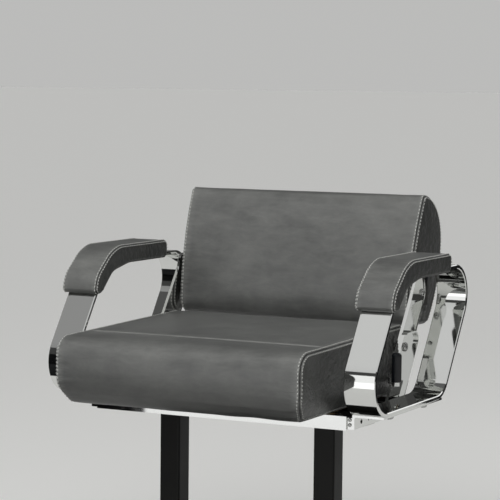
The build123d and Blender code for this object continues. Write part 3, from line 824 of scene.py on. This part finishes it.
bm = bmesh.new()
side = side_outline(
    bm,
    [
        (seat_rear, seat_foot),
        (seat_rear, seat_top),
        (seat_front, seat_top - seat_fall),
        (seat_front, seat_foot + seat_nose),
        (seat_front + seat_nose, seat_foot),
    ],
    [8 * MM, 6 * MM, 34 * MM, 30 * MM, 24 * MM],
    -seat_half,
)
seat_outline = sweep_cover(bm, side, seat_half, seat_sewn_r, 12 * MM, joins=[seat_join])
seat = object_from(bm, "seat_cover", leather)
seat_rise, seat_held = mark_seams(
    seat, -seat_half, seat_half, seat_sewn_r, [seat_join], seat_top - 30 * MM
)
for vert in seat.data.vertices:
    if vert.co.z < seat_foot + 1 * MM:
        seat_held[vert.index] = 1.0
puff(seat, seat_held, (3.5 * MM, 6 * MM, 5 * MM))
press_seams(seat, seat_rise, seat_held, wave=0.5 * MM, reach=45 * MM)


def seat_taper(point):
    """The cover is pulled in towards the board at its foot."""
    share = max(0.0, min(1.0, (point.z - seat_foot) / seat_tuck))
    width = seat_foot_share + (1 - seat_foot_share) * math.sin(share * math.pi / 2)
    return Vector((point.x * width, point.y, point.z))


hem_height = 30 * MM  # the stapled hem pulls unevenly on the cover up to here
hem_wave = 1.6 * MM
hem_reach = 55 * MM
for vert in seat.data.vertices:
    vert.co = seat_taper(vert.co)
    low = max(0.0, 1 - (vert.co.z - seat_foot) / hem_height)
    vert.co.z += hem_wave * low * noise.noise(vert.co / hem_reach)
room = 0.3 * MM  # between a cover and the hard piece inside it
clear = Vector((room, room, room))
board_pocket = block_tool("board_pocket", board_box[0] - clear, board_box[1] + clear)
smooth_and_cut(seat, [board_pocket])
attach(seat, "chair_frame")
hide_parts("seat_cushion")
sew(
    "seat_stitching", seat,
    double_rows(
        seat_outline, -seat_half, seat_half, seat_sewn_r,
        lambda z, out_y, out_z: out_z > -0.9 or z > seat_foot + 2 * MM, taper=seat_taper,
    ),
    "chair_frame",
)

# ---------------------------------------------------------------------------------------------
# Backrest: a rolled foam bolster over the beech core, in the same leather. One panel wraps
# round it and two flat end panels are sewn on with a double row of pale thread.
# ---------------------------------------------------------------------------------------------
back_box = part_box("back_cushion")
core_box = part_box("back_core")
back_half = back_box[1].x
back_sewn_r = 7 * MM
arm_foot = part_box("arm_loop_left")[0].z


def above_rails(points):
    """(y, z) pairs in metres from millimetres above the underside of the loops."""
    return [(y * MM, arm_foot + z * MM) for y, z in points]


def arc_on(bm, start, through, end, count):
    """Spins the start point on, along the circle to the end. Returns the last point."""
    a, b, c = Vector((start.co.y, start.co.z)), Vector(through), Vector(end)
    d = 2 * (a.x * (b.y - c.y) + b.x * (c.y - a.y) + c.x * (a.y - b.y))
    squares = [p.length_squared for p in (a, b, c)]
    centre = Vector((
        (squares[0] * (b.y - c.y) + squares[1] * (c.y - a.y) + squares[2] * (a.y - b.y)) / d,
        (squares[0] * (c.x - b.x) + squares[1] * (a.x - c.x) + squares[2] * (b.x - a.x)) / d,
    ))
    turn = (a - centre).angle_signed(c - centre)
    spun = bmesh.ops.spin(
        bm, geom=[start], cent=(start.co.x, *centre), axis=(1, 0, 0), angle=-turn, steps=count
    )
    return next(g for g in spun["geom_last"] if isinstance(g, bmesh.types.BMVert))


back_foot = (181.0, 123.0)
back_arcs = (  # a point on each arc, its end, and its steps
    ((162.0, 130.9), (154.2, 149.5), 8),  # lower front edge
    ((168.5, 245.0), (209.5, 361.0), 17),  # front
    ((213.5, 368.0), (221.0, 370.0), 3),  # top edge
    ((285.5, 337.0), (310.5, 268.0), 12),  # upper back
    ((298.5, 193.5), (256.6, 121.5), 12),  # lower back
)
back_corner_r = 7.5 * MM
bm = bmesh.new()
foot = bm.verts.new((-back_half, *above_rails([back_foot])[0]))
joint = foot
for through, end, count in back_arcs:
    joint = arc_on(bm, joint, *above_rails([through, end]), count)
bm.edges.new((joint, foot))
bmesh.ops.edgeloop_fill(bm, edges=bm.edges)
bmesh.ops.bevel(
    bm, geom=[joint], offset=back_corner_r, segments=3, profile=0.5, affect="VERTICES", material=-1
)
bm.faces.ensure_lookup_table()
back_outline = sweep_cover(bm, bm.faces[0], back_half, back_sewn_r, 12 * MM)
back = object_from(bm, "back_cover", leather)
back_rise, back_held = mark_seams(back, -back_half, back_half, back_sewn_r)
for vert in back.data.vertices:
    if vert.normal.z < -0.9:
        back_held[vert.index] = 1.0
puff(back, back_held, (2.5 * MM, 5.5 * MM, 4 * MM))
press_seams(back, back_rise, back_held, wave=0.5 * MM, reach=50 * MM)
back_foot_share = 0.983  # the width at the foot, against the CAD solid's
back_spread = 0.031  # how much more it is at the top


def back_taper(point):
    """The bolster is a little wider at its top than at its foot."""
    share = (point.z - back_box[0].z) / (back_box[1].z - back_box[0].z)
    return Vector((point.x * (back_foot_share + back_spread * share), point.y, point.z))


for vert in back.data.vertices:
    vert.co = back_taper(vert.co)
core_slot = block_tool("core_slot", core_box[0] - clear, core_box[1] + clear)
smooth_and_cut(back, [core_slot])
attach(back, "backrest")
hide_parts("back_cushion")
sew(
    "back_stitching", back,
    double_rows(
        back_outline, -back_half, back_half, back_sewn_r,
        lambda z, out_y, out_z: out_z > -0.8, taper=back_taper,
    ),
    "backrest",
)

# ---------------------------------------------------------------------------------------------
# Arm pads: foam on a thin board, wrapped in the same leather over the top of each loop and
# down its front bend. The top strip is sewn to the two side panels with double rows.
# ---------------------------------------------------------------------------------------------
pad_sewn_r = 5 * MM
loop_corners = [(-252.0, 0.0), (127.5, 0.0), (295.1, 244.5), (-84.4, 244.5)]
loop_corner_r = 60 * MM
pad_corners = [  # from the rear end's foot, over the top and down the front bend
    (136.5, 234.0), (136.5, 269.0), (-68.0, 269.0), (-136.5, 212.5), (-136.5, 183.5),
    (-113.0, 183.5), (-72.0, 222.0), (-10.0, 234.0),
]
pad_radii = [8 * MM, 11 * MM, 84 * MM, 44 * MM, 7 * MM, 16 * MM, 45 * MM, 90 * MM]
pad_trim = 0.5 * MM  # each side starts this much further in, and swells out again
pad_rear_z = arm_foot + 250 * MM  # the rear end is sewn only above this height

for side_name in ("left", "right"):
    pad_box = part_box(f"arm_pad_{side_name}")
    pad_board_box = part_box(f"arm_pad_board_{side_name}")
    loop_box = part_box(f"arm_loop_{side_name}")
    pad_low = pad_box[0].x + pad_trim
    pad_high = pad_box[1].x - pad_trim
    bm = bmesh.new()
    side = side_outline(bm, above_rails(pad_corners), pad_radii, pad_low)
    pad_outline = sweep_cover(bm, side, pad_high, pad_sewn_r, 9 * MM)
    pad = object_from(bm, f"arm_pad_cover_{side_name}", leather)
    pad_rise, pad_held = mark_seams(pad, pad_low, pad_high, pad_sewn_r)
    for vert in pad.data.vertices:
        if vert.normal.z < -0.6 or (vert.normal.y > 0.5 and vert.co.z < arm_foot + 230 * MM):
            pad_held[vert.index] = 1.0
    puff(pad, pad_held, (1.4 * MM, 2.2 * MM, 2.4 * MM))
    press_seams(pad, pad_rise, pad_held, wave=0.3 * MM, reach=30 * MM)
    bm = bmesh.new()
    side = side_outline(bm, above_rails(loop_corners), [loop_corner_r] * 4, loop_box[0].x - room)
    sweep_across(bm, side, loop_box[1].x + room)
    loop_slot = object_from(bm, "loop_slot")
    board_slot = block_tool("board_slot", pad_board_box[0] - clear, pad_board_box[1] + clear)
    smooth_and_cut(pad, [loop_slot, board_slot])
    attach(pad, "chair_frame")
    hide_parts(f"arm_pad_{side_name}")
    sew(
        f"arm_pad_stitching_{side_name}", pad,
        double_rows(
            pad_outline, pad_low, pad_high, pad_sewn_r,
            lambda z, out_y, out_z: out_z > 0.3 or out_y < -0.3 or (out_y > 0.5 and z > pad_rear_z),
        ),
        "chair_frame",
    )
